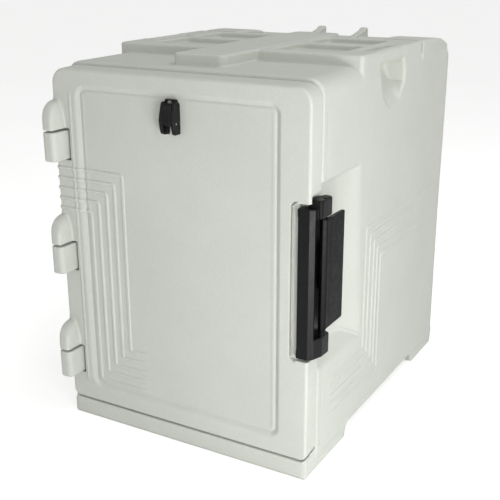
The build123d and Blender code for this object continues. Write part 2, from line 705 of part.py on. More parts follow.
door_foam = make_door_foam()
save("door_shell", make_door_shell(door_foam))
save("door_foam", door_foam)
save("door_gasket", make_gasket())
save("door_fill_plug", make_door_plug())

save("latch_bracket", make_bracket())
save("latch_screws", *[
    screw_x(LATCH_SCREW_Y, z, LATCH_SCREW_SEAT, 26, 4.6, LATCH_SCREW_R) for z in LATCH_SCREW_Z
])
save("latch_inserts", *[
    insert_x(LATCH_SCREW_Y, z, LATCH_INSERT, LATCH_SCREW_R) for z in LATCH_SCREW_Z
])
save("latch_pin", rod_z(PIVOT_X, PIVOT_Y, LATCH_PIN_R, LATCH_Z0 + 6, LATCH_Z1 + 8))
save("latch_paddle", make_paddle())

save("vent_housing", make_vent_housing())
save("vent_screws", *[vent_screw(z) for z in VENT_SCREW_Z])
save("vent_tube", make_vent_tube())
save("vent_pin", rod_x(VENT_PIN_Y, VENT_PIN_Z, VENT_PIN_R, -13, 13))
save("vent_lever", make_vent_lever())
save("vent_plug", make_vent_plug())
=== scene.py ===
import math
import time

import bpy
import numpy as np
from mathutils import Matrix, Vector


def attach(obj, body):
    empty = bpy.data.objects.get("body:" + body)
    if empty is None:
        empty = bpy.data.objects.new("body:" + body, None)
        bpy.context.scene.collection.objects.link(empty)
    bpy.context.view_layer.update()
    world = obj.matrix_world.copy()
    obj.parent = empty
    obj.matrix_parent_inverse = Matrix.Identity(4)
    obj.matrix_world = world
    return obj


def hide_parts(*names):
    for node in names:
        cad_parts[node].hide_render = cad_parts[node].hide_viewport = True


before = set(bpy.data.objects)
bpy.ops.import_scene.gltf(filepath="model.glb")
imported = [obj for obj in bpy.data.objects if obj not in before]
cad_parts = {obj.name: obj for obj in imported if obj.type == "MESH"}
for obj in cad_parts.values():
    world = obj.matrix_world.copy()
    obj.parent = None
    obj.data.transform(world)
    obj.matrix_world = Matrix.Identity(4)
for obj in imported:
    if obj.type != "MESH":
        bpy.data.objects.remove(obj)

T0 = time.time()
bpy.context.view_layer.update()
f4 = np.float32

# ---------------------------------------------------------------- dimensions
# The carrier in millimetres. x is across, y is counted from the door's front
# face towards the back, z is up from the floor. The row frame's origin is under
# the middle of the carrier, so y is shifted by HALF_DEPTH when a mesh is made.
HALF_DEPTH = 305.0
HX = 230.0
DEPTH = 610.0
H = 617.0
DOOR_T = 37.5
BODY_F = 39.0
R_EDGE = 26.0
R_FRONT = 4.5
UNDER = 22.5
SILL_TOP = 30.5
SILL_RISE = 12.0
TOP = 635.0
CAV_HX = 167.0
CAV_Z0, CAV_Z1 = 66.0, 574.0
CAV_BACK = 580.0
HINGE_X, HINGE_Y = -219.5, -18.0
KN_X0, KN_X1, KN_OUT = -229.5, -204.5, 33.0
GAPS = (133.0, 323.0, 513.0)
PANEL_X, PANEL_Z0, PANEL_Z1, PANEL_D = 179.0, 65.0, 582.0, 3.0
PIV_X, PIV_Y, PIV_R = 240.0, 26.0, 6.0


# ------------------------------------------------- signed-distance modelling
def smin(a, b, k):
    if k <= 0:
        return np.minimum(a, b)
    h = np.clip(0.5 + 0.5 * (b - a) / k, 0, 1)
    return b + (a - b) * h - k * h * (1 - h)


def smax(a, b, k):
    return -smin(-a, -b, k)


def rmax(a, b, r):
    """Intersection with an edge rounded to radius r."""
    a, b = a + r, b + r
    return np.minimum(np.maximum(a, b), 0) + np.sqrt(np.maximum(a, 0) ** 2 + np.maximum(b, 0) ** 2) - r


def length(*c):
    s = c[0] * c[0]
    for v in c[1:]:
        s = s + v * v
    return np.sqrt(s)


def rbox(x0, x1, y0, y1, z0, z1, r=0.0):
    """Rounded box."""
    cx, cy, cz = (x0 + x1) / 2, (y0 + y1) / 2, (z0 + z1) / 2
    hx, hy, hz = (x1 - x0) / 2 - r, (y1 - y0) / 2 - r, (z1 - z0) / 2 - r

    def f(x, y, z):
        qx, qy, qz = np.abs(x - cx) - hx, np.abs(y - cy) - hy, np.abs(z - cz) - hz
        return (
            length(np.maximum(qx, 0), np.maximum(qy, 0), np.maximum(qz, 0))
            + np.minimum(np.maximum(np.maximum(qx, qy), qz), 0)
            - r
        )

    return f


def rect2(a, b, a0, a1, b0, b1, r):
    qa = np.abs(a - (a0 + a1) / 2) - (a1 - a0) / 2 + r
    qb = np.abs(b - (b0 + b1) / 2) - (b1 - b0) / 2 + r
    return length(np.maximum(qa, 0), np.maximum(qb, 0)) + np.minimum(np.maximum(qa, qb), 0) - r


def poly2(a, b, pts):
    """Exact 2D distance to a polygon, negative inside."""
    pts = [np.array(p, float) for p in pts]
    n = len(pts)
    a, b = np.broadcast_arrays(a, b)
    d = None
    s = np.ones(a.shape, bool)
    for i in range(n):
        p, q = pts[i], pts[i - 1]
        ex, ey = q - p
        wx, wy = a - p[0], b - p[1]
        t = np.clip((wx * ex + wy * ey) / (ex * ex + ey * ey), 0, 1)
        dd = (wx - ex * t) ** 2 + (wy - ey * t) ** 2
        d = dd if d is None else np.minimum(d, dd)
        c1, c2, c3 = b >= p[1], b < q[1], ex * wy > ey * wx
        flip = (c1 & c2 & c3) | (~c1 & ~c2 & ~c3)
        s = s ^ flip
    return np.where(s, 1.0, -1.0) * np.sqrt(d)


def slab(d2, w, w0, w1, r=0.0):
    """A flat shape d2 made solid between w0 and w1, its rim rounded by r."""
    h = np.abs(w - (w0 + w1) / 2) - (w1 - w0) / 2 + r
    d = d2 + r
    return np.minimum(np.maximum(d, h), 0) + length(np.maximum(d, 0), np.maximum(h, 0)) - r


def prism(plane, pts, w0, w1, r=0.0, grow=0.0):
    """Polygon in a plane made solid along the third axis."""

    def f(x, y, z):
        a, b, w = {"xy": (x, y, z), "yz": (y, z, x), "xz": (x, z, y)}[plane]
        return slab(poly2(a, b, pts) - grow, w, w0, w1, r)

    return f


def rod(axis, u, v, rad, w0, w1, r=0.0):
    def f(x, y, z):
        a, b, w = {"x": (y, z, x), "y": (x, z, y), "z": (x, y, z)}[axis]
        return slab(length(a - u, b - v) - rad, w, w0, w1, r)

    return f


def capsule(p, q, rad, rad2=None):
    p, q = np.array(p, float), np.array(q, float)
    e = q - p
    ee = float(e @ e)

    def f(x, y, z):
        t = np.clip(((x - p[0]) * e[0] + (y - p[1]) * e[1] + (z - p[2]) * e[2]) / ee, 0, 1)
        rr = rad if rad2 is None else rad + (rad2 - rad) * t
        return length(x - p[0] - e[0] * t, y - p[1] - e[1] * t, z - p[2] - e[2] * t) - rr

    return f


def mirrored(f):
    return lambda x, y, z: f(-x, y, z)


class Solid:
    """A shape built up from smooth unions and cuts, each worked out only near itself."""

    def __init__(self, base):
        self.base = base
        self.ops = []

    def add(self, f, box, k=0.0):
        self.ops.append(("add", f, box, k))

    def cut(self, f, box, k=0.0):
        self.ops.append(("cut", f, box, k))

    def both(self, how, f, box, k=0.0):
        getattr(self, how)(f, box, k)
        getattr(self, how)(mirrored(f), (-box[1], -box[0]) + tuple(box[2:]), k)

    def bump(self, f, box):
        """Offsets the surface by f, in millimetres outwards."""
        self.ops.append(("bump", f, box, 0))

    def apply(self, op, cur, x, y, z):
        kind, f, _, k = op
        if kind == "add":
            return smin(cur, f(x, y, z), k)
        if kind == "cut":
            return smax(cur, -f(x, y, z), k)
        return cur - f(x, y, z)

    def grid(self, xs, ys, zs):
        x, y, z = xs[:, None, None], ys[None, :, None], zs[None, None, :]
        out = np.empty((len(xs), len(ys), len(zs)), f4)
        out[...] = self.base(x, y, z)
        for op in self.ops:
            b = op[2]
            i0, i1 = np.searchsorted(xs, b[0]), np.searchsorted(xs, b[1])
            j0, j1 = np.searchsorted(ys, b[2]), np.searchsorted(ys, b[3])
            k0, k1 = np.searchsorted(zs, b[4]), np.searchsorted(zs, b[5])
            if i0 >= i1 or j0 >= j1 or k0 >= k1:
                continue
            out[i0:i1, j0:j1, k0:k1] = self.apply(
                op, out[i0:i1, j0:j1, k0:k1], x[i0:i1], y[:, j0:j1], z[:, :, k0:k1]
            )
        return out

    def at(self, p):
        x, y, z = p[:, 0], p[:, 1], p[:, 2]
        out = np.array(self.base(x, y, z), float)
        for op in self.ops:
            b = op[2]
            m = (x >= b[0]) & (x < b[1]) & (y >= b[2]) & (y < b[3]) & (z >= b[4]) & (z < b[5])
            if m.any():
                out[m] = self.apply(op, out[m], x[m], y[m], z[m])
        return out

    def slope(self, p, e=0.05):
        g = np.empty_like(p)
        for a in range(3):
            d = np.zeros(3)
            d[a] = e
            g[:, a] = (self.at(p + d) - self.at(p - d)) / (2 * e)
        return g


def lines(lo, hi, coarse, zones):
    """Grid lines from lo to hi, closer together inside the zones (from, to, step)."""
    marks = sorted({lo, hi} | {min(max(v, lo), hi) for z in zones for v in z[:2]})
    out = [lo]
    for a, b in zip(marks[:-1], marks[1:]):
        if b - a < 1e-6:
            continue
        step = min([coarse] + [z[2] for z in zones if z[0] <= a + 1e-6 and z[1] >= b - 1e-6])
        n = max(1, int(math.ceil((b - a) / step - 1e-6)))
        out += [a + (b - a) * (i + 1) / n for i in range(n)]
    # a grid line exactly on a flat face gives ragged crossings
    return np.array(out) + 0.0137


def surface_net(solid, xs, ys, zs):
    """Quads round the zero level of the solid on a grid of uneven lines."""
    val = solid.grid(xs, ys, zs)
    nx, ny, nz = val.shape
    neg = val < 0
    cs = (nx - 1, ny - 1, nz - 1)
    grids = (xs, ys, zs)
    ids, pos, quads = [], [], []
    for ax in range(3):
        o1, o2 = [a for a in range(3) if a != ax]
        lo = [slice(None)] * 3
        hi = [slice(None)] * 3
        lo[ax], hi[ax] = slice(0, -1), slice(1, None)
        change = neg[tuple(lo)] != neg[tuple(hi)]
        e = np.array(np.nonzero(change)).T
        if not len(e):
            continue
        i0 = e
        i1 = e.copy()
        i1[:, ax] += 1
        v0 = val[i0[:, 0], i0[:, 1], i0[:, 2]].astype(float)
        v1 = val[i1[:, 0], i1[:, 1], i1[:, 2]].astype(float)
        t = v0 / (v0 - v1)
        p = np.empty((len(e), 3))
        for a in range(3):
            p[:, a] = grids[a][i0[:, a]]
        p[:, ax] += t * (grids[ax][i1[:, ax]] - grids[ax][i0[:, ax]])
        inner = np.ones(len(e), bool)
        for a in (o1, o2):
            inner &= (e[:, a] > 0) & (e[:, a] < cs[a])
        around = []
        for d1, d2 in ((-1, -1), (0, -1), (0, 0), (-1, 0)):
            c = e.copy()
            c[:, o1] += d1
            c[:, o2] += d2
            cid = (c[:, 0] * cs[1] + c[:, 1]) * cs[2] + c[:, 2]
            around.append(cid)
            ids.append(cid[inner])
            pos.append(p[inner])
        q = np.stack(around, 1)[inner]
        out = (v0 < 0)[inner]
        # o1, o2, ax is a right-handed order for ax 0 (y,z) and 2 (x,y), and not for 1 (x,z)
        flip = out if ax != 1 else ~out
        q[~flip] = q[~flip][:, ::-1]
        quads.append(q)
    ids = np.concatenate(ids)
    pos = np.concatenate(pos)
    quads = np.concatenate(quads)
    uniq, inv = np.unique(ids, return_inverse=True)
    cnt = np.bincount(inv)
    verts = np.stack([np.bincount(inv, pos[:, a]) / cnt for a in range(3)], 1)
    faces = np.searchsorted(uniq, quads)
    return verts, faces


def settle(solid, p, reach, rounds=2):
    """Moves points onto the solid's surface."""
    for _ in range(rounds):
        v = solid.at(p)
        g = solid.slope(p)
        n2 = np.maximum((g * g).sum(1), 0.25)
        step = g * (v / n2)[:, None]
        far = np.linalg.norm(step, axis=1)
        step *= np.minimum(1, reach / np.maximum(far, 1e-9))[:, None]
        p = p - step
    return p


def hollow_of(node):
    """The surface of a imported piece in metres, turned inside out: the hollow that the piece fills."""
    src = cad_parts[node]
    data = src.data
    cv = np.empty(len(data.vertices) * 3, f4)
    data.vertices.foreach_get("co", cv)
    mw = np.array(src.matrix_world)
    cv = cv.reshape(-1, 3).astype(float) @ mw[:3, :3].T + mw[:3, 3]
    data.calc_loop_triangles()
    tri = np.empty(len(data.loop_triangles) * 3, np.int32)
    data.loop_triangles.foreach_get("vertices", tri)
    tri = tri.reshape(-1, 3)[:, ::-1]
    # one vertex per place, so that the hollow is closed too
    _, first, inv = np.unique(np.round(cv * 1e6).astype(np.int64), axis=0, return_index=True, return_inverse=True)
    cv, tri = cv[first], inv.reshape(-1)[tri]
    tri = tri[(tri[:, 0] != tri[:, 1]) & (tri[:, 1] != tri[:, 2]) & (tri[:, 0] != tri[:, 2])]
    fn = np.cross(cv[tri[:, 1]] - cv[tri[:, 0]], cv[tri[:, 2]] - cv[tri[:, 0]])
    nor = np.zeros_like(cv)
    for k in range(3):
        np.add.at(nor, tri[:, k], fn)
    nor /= np.maximum(np.linalg.norm(nor, axis=1), 1e-12)[:, None]
    return cv, tri, nor


def build(name, solid, xs, ys, zs, faces_max=180000, reach=1.0, wear=3.0, hollow=None):
    """The solid as a closed smooth mesh object in the row frame, with normals taken from the shape itself, and two
    point attributes: edge (how sharply it turns outwards) and nook (how enclosed it is, which the plastic's material
    uses to paint shade into hollows)."""
    began = time.time()
    v, q = surface_net(solid, xs, ys, zs)
    v = settle(solid, v, reach)
    me = bpy.data.meshes.new(name)
    me.vertices.add(len(v))
    me.vertices.foreach_set("co", v.astype(f4).ravel())
    me.loops.add(len(q) * 4)
    me.loops.foreach_set("vertex_index", q.astype(np.int32).ravel())
    me.polygons.add(len(q))
    me.polygons.foreach_set("loop_start", np.arange(0, len(q) * 4, 4, dtype=np.int32))
    me.update(calc_edges=True)
    ob = bpy.data.objects.new(name, me)
    bpy.context.scene.collection.objects.link(ob)
    tris = len(q) * 2
    if tris > faces_max:
        m = ob.modifiers.new("thin", "DECIMATE")
        m.ratio = faces_max / tris
        dg = bpy.context.evaluated_depsgraph_get()
        thin = bpy.data.meshes.new_from_object(ob.evaluated_get(dg), depsgraph=dg)
        ob.modifiers.clear()
        ob.data = thin
        thin.name = name
        me = thin
    n = len(me.vertices)
    co = np.empty(n * 3, f4)
    me.vertices.foreach_get("co", co)
    p = co.reshape(-1, 3).astype(float)
    p = settle(solid, p, reach * 0.5, 1)
    g = solid.slope(p, 0.12)
    nor = g / np.maximum(np.linalg.norm(g, axis=1), 1e-9)[:, None]
    bend = solid.at(p + nor * 0.0)
    tot = np.zeros(n)
    for a in range(3):
        d = np.zeros(3)
        d[a] = wear
        tot += solid.at(p + d) + solid.at(p - d)
    edge = np.clip((tot - 6 * bend) / (wear * wear) * wear * 0.5, 0, 1)
    reachn = 14.0
    nook = np.clip(1 - (solid.at(p + nor * reachn)) / reachn, 0, 1)
    p[:, 1] -= HALF_DEPTH
    p /= 1000
    if hollow:
        cv, tri, cn = hollow_of(hollow)
        starts, sizes = np.empty(len(me.polygons), np.int32), np.empty(len(me.polygons), np.int32)
        me.polygons.foreach_get("loop_start", starts)
        me.polygons.foreach_get("loop_total", sizes)
        loops = np.empty(len(me.loops), np.int32)
        me.loops.foreach_get("vertex_index", loops)
        loops = np.concatenate([loops, (tri + n).ravel()]).astype(np.int32)
        starts = np.concatenate([starts, len(me.loops) + 3 * np.arange(len(tri))]).astype(np.int32)
        p, nor = np.concatenate([p, cv]), np.concatenate([nor, cn])
        edge, nook = np.concatenate([edge, np.zeros(len(cv))]), np.concatenate([nook, np.ones(len(cv))])
        me = bpy.data.meshes.new(name)
        me.vertices.add(len(p))
        me.loops.add(len(loops))
        me.loops.foreach_set("vertex_index", loops)
        me.polygons.add(len(starts))
        me.polygons.foreach_set("loop_start", starts)
        me.vertices.foreach_set("co", p.astype(f4).ravel())
        me.update(calc_edges=True)
        ob.data = me
    me.vertices.foreach_set("co", p.astype(f4).ravel())
    for key, values in (("edge", edge), ("nook", nook)):
        at = me.attributes.new(key, "FLOAT", "POINT")
        at.data.foreach_set("value", values.astype(f4))
    me.polygons.foreach_set("use_smooth", np.ones(len(me.polygons), bool))
    me.update()
    me.normals_split_custom_set_from_vertices(nor.astype(f4).tolist())
    me.update()
    print(f"BUILD {name} {len(me.vertices)} verts {len(me.polygons)} faces {time.time() - began:.1f}s")
    return ob


def polyline2(a, b, pts):
    """2D distance to an open chain of segments."""
    d = None
    for (px, py), (qx, qy) in zip(pts[:-1], pts[1:]):
        ex, ey = qx - px, qy - py
        wx, wy = a - px, b - py
        t = np.clip((wx * ex + wy * ey) / (ex * ex + ey * ey), 0, 1)
        dd = (wx - ex * t) ** 2 + (wy - ey * t) ** 2
        d = dd if d is None else np.minimum(d, dd)
    return np.sqrt(d)


def rounded_chain(pts, r):
    """The chain with its corners turned into short arcs of radius r."""
    out = [pts[0]]
    for a, b, c in zip(pts[:-2], pts[1:-1], pts[2:]):
        a, b, c = (np.array(p, float) for p in (a, b, c))
        u, w = (a - b) / np.linalg.norm(a - b), (c - b) / np.linalg.norm(c - b)
        for t in (0, 0.25, 0.5, 0.75, 1):
            p = (1 - t) ** 2 * (b + u * r) + 2 * t * (1 - t) * b + t * t * (b + w * r)
            out.append(tuple(p))
    return out + [pts[-1]]


def smooth01(t):
    t = np.clip(t, 0, 1)
    return t * t * (3 - 2 * t)


def ridge(d, half, soft):
    """1 within half of a line, falling softly to 0."""
    return smooth01((half + soft - d) / soft)


# --------------------------------------------------------------- body shell
def body_form(x, y, z):
    r, low = R_EDGE, UNDER - 80
    hx, hy, hz = HX - r, 355.0 - r, (H - low) / 2 - r
    qx, qy, qz = np.abs(x) - hx, np.abs(y - 255.0) - hy, np.abs(z - (H + low) / 2) - hz
    d = length(np.maximum(qx, 0), np.maximum(qy, 0), np.maximum(qz, 0)) + np.minimum(np.maximum(np.maximum(qx, qy), qz), 0) - r
    d = rmax(d, UNDER - z, 4.5)
    d = rmax(d, BODY_F - y, 3.2 + 2.3 * smooth01((z - 585) / 25))
    # a moulded wall is never quite flat
    wave = 0.35 * np.sin(z / 71.0 + y / 160.0) * np.sin(y / 97.0 + 1.0) + 0.25 * np.sin(x / 63.0 + z / 120.0 + 2.0)
    return d + wave * smooth01((y - 70) / 60)


body = Solid(body_form)
BX = (-250, 250, -20, 640, -20, 660)

# runners and sill
def front_runner(x, y, z):
    d2 = poly2(y, z, [(2, 0), (152, 0), (161, 33), (39, 33), (2, 27)])
    return slab(d2, x, -229.8, 229.8, 3.0)


def rear_runner(x, y, z):
    d2 = poly2(y, z, [(484, 0), (592, 0), (604, 33), (463, 33)])
    return smax(slab(d2, x, -229.8, 229.8, 3.0), rect2(x, y, -229.8, 229.8, 300, 604.5, 14.0) + 0 * z, 2.0)


def climb(y):
    """The sill climbs towards the body behind it."""
    return (np.clip(y, 8, 36) - 8) * 0.14


def sill(x, y, z):
    d2 = poly2(y, z, [(0, 2), (50, 2), (50, 44), (39.5, 43), (8, 39.5), (0, 38.5)])
    seat = rect2(x, z - climb(y), -232.5, 232.5, 30.5, 300, 14.5)
    d = smax(d2, -seat, 1.0)
    d = smax(d, rect2(x, z, -229.3, 229.3, 2, 200, 8.0), 2.0)
    return smax(d, rect2(x, y, -229.3, 229.3, 0, 200, 9.0), 3.0)


body.add(front_runner, (-250, 250, -10, 175, -20, 60), 5.0)
body.add(rear_runner, (-250, 250, 445, 630, -20, 60), 5.0)
body.add(sill, (-250, 250, -10, 80, -10, 80), 1.5)

# channels under the runners
body.cut(rbox(-50, 50, 64, 506, -30, 20.5, 2), (-60, 60, 50, 520, -20, 30), 2.0)
body.cut(rbox(-49, -27, 492, 640, -30, 22.8, 1), (-58, -20, 480, 620, -20, 32), 1.5)
body.cut(rbox(42, 64, 492, 640, -30, 22.8, 1), (34, 72, 480, 620, -20, 32), 1.5)
body.both("cut", rbox(146, 216, 448, 600, -30, 20.5, 2), (136, 226, 436, 612, -20, 30), 2.0)
body.both("cut", rbox(46, 148, 548, 600, -30, 8, 1), (38, 156, 540, 612, -20, 14), 1.5)

# collar groove down each side
def collar_groove(x, y, z):
    return np.sqrt((y - 53.0) ** 2 + np.maximum(0, np.abs(z - 302) - 262) ** 2 + 0 * x)


body.bump(
    lambda x, y, z: -0.9 * ridge(collar_groove(x, y, z), 0.7, 1.8) * (np.abs(x) > 215),
    (-240, 240, 48, 58, 34, 572),
)

# raised pattern on top
def cross(x, y, z):
    return slab(rect2(x, y, -46, 46, 73, 500, 10.0), z, 600, TOP, 4.0)


def band(x, y, z):
    return slab(rect2(x, y, -228, 228, 178, 440, 7.0), z, 582, TOP - 1, 4.5)


SHOULDER = [(452, 588), (452, TOP - 1), (496, TOP - 1), (524, TOP - 3), (548, TOP - 6), (566, TOP - 11), (582, TOP - 17),
            (595, TOP - 25), (603, TOP - 36), (604, 588)]


def shoulder(x, y, z):
    d = slab(poly2(y, z, SHOULDER), x, 150, 240, 5.0)
    d = smax(d, rect2(x, y, -228, 228, 420 - 200, 606, R_EDGE), 2.0)
    return smax(d, rect2(x, z, 140, 228, 500, TOP - 1, 8.0), 2.0)


def rim(x, y, z):
    d2 = poly2(y, z, [(550, 600), (555, 621), (560, 623), (579, 623), (586, 620), (592, 613), (596, 600)])
    return slab(d2, x, -160, 160, 3.0)


body.add(cross, (-70, 70, 55, 520, 595, 660), 4.0)
body.add(band, (-250, 250, 160, 460, 575, 660), 4.0)
body.add(rim, (-185, 185, 538, 610, 598, 640), 4.0)
body.both("add", shoulder, (130, 250, 436, 625, 580, 660), 4.0)
for y0, y1 in ((206, 306), (330, 418)):
    pit = lambda x, y, z, a=y0, b=y1: slab(rect2(x, y, 58, 176, a, b, 12.0), z, TOP - 10, TOP + 30, 2.0)
    body.both("cut", pit, (46, 188, y0 - 12, y1 + 12, TOP - 18, TOP + 10), 3.0)
TAB = [(496, 606), (502, 618), (584, TOP - 1), (590, TOP + 2.5), (594, TOP + 3.5), (600, TOP + 3.5), (603, TOP + 1), (604, TOP - 2), (604, 594)]
for x0, x1 in ((-45, -31), (46, 60)):
    tab = lambda x, y, z, a=x0, b=x1: slab(poly2(y, z, TAB), x, a, b, 2.5)
    body.add(tab, (x0 - 12, x1 + 12, 480, 620, 588, 660), 3.0)

# carrying handles
SCOOP = [(249, 700), (356, 700), (356, 576), (334, 549), (291, 541), (263, 561), (249, 600)]


def scoop(x, y, z):
    floor_x = 190 + 34 * smooth01((604 - z) / 62) ** 1.3
    return smax(slab(poly2(y, z, SCOOP), x, 150, 260, 2.0), floor_x - x, 10.0)


body.both("cut", scoop, (178, 250, 232, 374, 525, 660), 6.0)
body.both("add", rbox(208, 228, 236, 369, 612, TOP - 1, 7.5), (196, 240, 226, 379, 604, 645), 3.0)

# pocket behind the latch
def pocket(x, y, z):
    u = x - 208
    back = smax(-u, ((y - (134 + 0.075 * (469 - z))) * 22 - 42 * u) / 47.4, 14.0)
    d = smax(-u, ((z - 456) * 22 - 13 * u) / 25.55, 6.0)
    d = smax(d, ((197 - z) * 22 - 24 * u) / 32.56, 6.0)
    return smax(d, back, 3.0)


body.cut(pocket, (196, 245, 20, 235, 165, 492), 4.0)
VALLEY = [(154, 197), (196, 174)]
body.bump(
    lambda x, y, z: 1.0 * ridge(polyline2(y, z, VALLEY), 1.0, 2.4) * (x > 204),
    (204, 236, 148, 204, 166, 206),
)

# ribs down each side
RIB_Y, RIB_Z1, RIB_Z0 = (212, 230, 248, 265, 281), (352, 336, 320, 303, 287), (137, 121, 105, 88.5, 72.5)
SIDE_CHAINS = [
    rounded_chain([(80, z0 + 2.5), (yy + 2.5, z0 + 2.5), (yy + 2.5, z1 + 2.5), (575, z1 + 2.5)], 6.0)
    for yy, z1, z0 in zip(RIB_Y, RIB_Z1, RIB_Z0)
]


def side_ribs(x, y, z):
    h = 0
    for chain in SIDE_CHAINS:
        h = np.maximum(h, ridge(polyline2(y, z, chain), 1.5, 2.4))
    fade = smooth01((562 - y) / 120) * smooth01((y - 76) / 16)
    low = 1.7 - 0.7 * smooth01((y - 285) / 50)
    return (low * h * fade) * np.ones_like(x)


body.bump(side_ribs, (222, 240, 74, 566, 66, 366))
body.bump(side_ribs, (-240, -222, 74, 566, 66, 366))

# lower hinge knuckles: they pass through the door and stand out in front of it
def hinge_low(g):
    return lambda x, y, z: slab(rect2(x, y, KN_X0, KN_X1, -KN_OUT, 60, 8.5), z, g - 48.5, g - 1.5, 1.8)


for g in GAPS:
    body.add(hinge_low(g), (-242, -192, -46, 72, g - 61, g + 11), 1.2)
    body.cut(rod("z", HINGE_X, HINGE_Y, 4.55, g - 40, g + 30), (-227, -211, -26, -10, g - 44, g + 6), 0.5)

# pan cavity with its rails
def cavity(x, y, z):
    return slab(rect2(x, z, -CAV_HX, CAV_HX, CAV_Z0, CAV_Z1, 13.0), y, -200, CAV_BACK, 10.0)


body.cut(cavity, (-186, 186, 0, 598, 48, 592), 4.0)
for i in range(12):
    z0 = CAV_Z0 + 34 + 38 * i
    body.both("add", rbox(153, 175, 66, 554, z0, z0 + 9, 3.5), (146, 182, 56, 566, z0 - 8, z0 + 17), 3.5)

# filling port, keeper inserts
body.cut(rod("z", 60, 305, 16.0, 0, 26.4), (36, 84, 280, 330, 10, 36), 0.8)
for z in (300.0, 376.0):
    body.cut(rod("x", 84, z, 4.05, 194, 230), (190, 214, 78, 90, z - 6, z + 6), 0.3)

R = 1.0
rail_z = [(CAV_Z0 + 34 + 38 * i - 3, CAV_Z0 + 34 + 38 * i + 12, 2.5 * R) for i in range(12)]
body_x = lines(-238, 238, 6.0 * R, [(-234, -200, 1.9 * R), (-62, 66, 3.0 * R), (-184, -148, 3.0 * R), (146, 186, 3.0 * R), (196, 236, 1.9 * R)])
body_y = lines(-41, 618, 5.0 * R, [(-37, 60, 1.9 * R), (60, 146, 3.4 * R), (146, 206, 1.9 * R), (206, 292, 1.8 * R), (292, 376, 3.0 * R), (430, 460, 2.5 * R), (490, 510, 2.5 * R), (545, 615, 2.6 * R)])
body_z = lines(-8, 646, 4.6 * R, [(-4, 60, 2.0 * R), (70, 156, 1.8 * R), (164, 208, 1.9 * R), (284, 360, 1.8 * R), (574, 642, 1.8 * R)] + rail_z + [(g - 4, g + 1, 1.5) for g in GAPS] + [(g - 52, g - 45, 1.8) for g in GAPS])
body_shell = build("body_shell_v", body, body_x, body_y, body_z, 172000, 1.2, hollow="body_foam")

# --------------------------------------------------------------- door shell
DOOR_H = 611.5


def door_form(x, y, z):
    top = DOOR_H - 1.5 * (1 - np.clip(y / DOOR_T, 0, 1))
    r = np.where(z > 300, R_EDGE, 12.0)
    zz = z - climb(y) * np.clip((160 - z) / 100, 0, 1)
    qa, qb = np.abs(x) - HX + r, np.abs(zz - (33 + top) / 2) - (top - 33) / 2 + r
    d2 = length(np.maximum(qa, 0), np.maximum(qb, 0)) + np.minimum(np.maximum(qa, qb), 0) - r
    d = slab(d2, y, 0, 200, R_FRONT)
    d = rmax(d, y - DOOR_T, 3.2)
    # the front is very slightly crowned
    return d - 0.9 * (1 - (x / HX) ** 2) * (1 - ((z - 325) / 292) ** 2) * (y < 10)


door = Solid(door_form)


def recess(x, y, z):
    """A sunk panel: a sloping edge with a fine groove at its foot."""
    d = -rect2(x, z, -PANEL_X, PANEL_X, PANEL_Z0, PANEL_Z1, 14.0) + 0 * y
    sunk = PANEL_D * smooth01((d + 5.0) / 8.0)
    return -(sunk + 0.8 * ridge(np.abs(d - 3.5), 0.5, 2.0) - 0.35 * ridge(np.abs(d - 9.0), 0.8, 2.2)) * (y < 9)


door.bump(recess, (-190, 190, -6, 9, 54, 594))
# two upright beads beside the hinge edge of the recess
for bx in (-195.0, -186.5):
    door.bump(
        lambda x, y, z, bx=bx: 0.75 * ridge(np.abs(x - bx), 0.9, 2.1) * smooth01((577 - z) / 14) * smooth01((z - 66) / 10) * (y < 9),
        (bx - 4, bx + 4, -4, 9, 60, 584),
    )
DOOR_X, DOOR_Z1, DOOR_Z0 = (-98, -115, -131, -148, -164), (451, 434, 417, 400, 383), (148, 131, 114, 97, 80)
DOOR_CHAINS = [
    rounded_chain([(-240, z1 - 2.25), (xx - 2.25, z1 - 2.25), (xx - 2.25, z0 - 2.25), (-50, z0 - 2.25)], 6.0)
    for xx, z1, z0 in zip(DOOR_X, DOOR_Z1, DOOR_Z0)
]


def door_ribs(x, y, z):
    h = 0
    for chain in DOOR_CHAINS:
        h = np.maximum(h, ridge(polyline2(x, z, chain), 1.4, 2.3))
    fade = smooth01((-56 - x) / 26)
    return 1.8 * h * fade * np.ones_like(y)


door.bump(door_ribs, (-234, -50, -4, 24, 70, 460))
door.add(rbox(-155, 155, 20, DOOR_T + 13, 78, 562, 8.0), (-172, 172, 30, 60, 62, 578), 4.0)


def gasket_groove(x, y, z):
    ring = np.abs(rect2(x, z, -183, 183, 56, 588, 12.0)) - 6.0
    return slab(ring, y, DOOR_T - 5, 80, 0.3)


door.cut(gasket_groove, (-194, 194, 30, 44, 44, 600), 0.8)
# upper knuckles: a column that runs out upwards like half a bullet
def knuckle(g):
    def f(x, y, z):
        col = slab(rect2(x, y, KN_X0, KN_X1, -KN_OUT, 30, 8.5), z, g - 20, g + 300, 1.0)
        side = (length(np.minimum(y, 0) / (KN_OUT + 0.3), np.maximum(z - (g + 5), 0) / 45.0) - 1) * KN_OUT
        lean = (length(np.maximum(x + 226, 0) / 19.0, np.maximum(z - (g + 3), 0) / 48.0) - 1) * 19
        return smax(smax(col, side, 3.0), lean, 7.0)

    return f


def hinge_notch(g):
    return lambda x, y, z: slab(rect2(x, z, -290, -199.9, g - 50.5, g + 1.5, 2.5), y, -60, 90)


for g in GAPS:
    door.add(knuckle(g), (-242, -190, -46, 16, g - 22, g + 62), 4.0)
    door.cut(hinge_notch(g), (-242, -194, -46, 50, g - 58, g + 9), 1.6)
    door.cut(rod("z", HINGE_X, HINGE_Y, 6.53, g - 20, g + 17), (-229, -210, -28, -8, g - 3, g + 21), 0.4)


def latch_notch(x, y, z):
    return slab(rect2(x, z, 202, 290, 203, 446, 7.0), y, -40, 6, 2.0)


door.cut(latch_notch, (192, 240, -6, 20, 193, 456), 2.0)
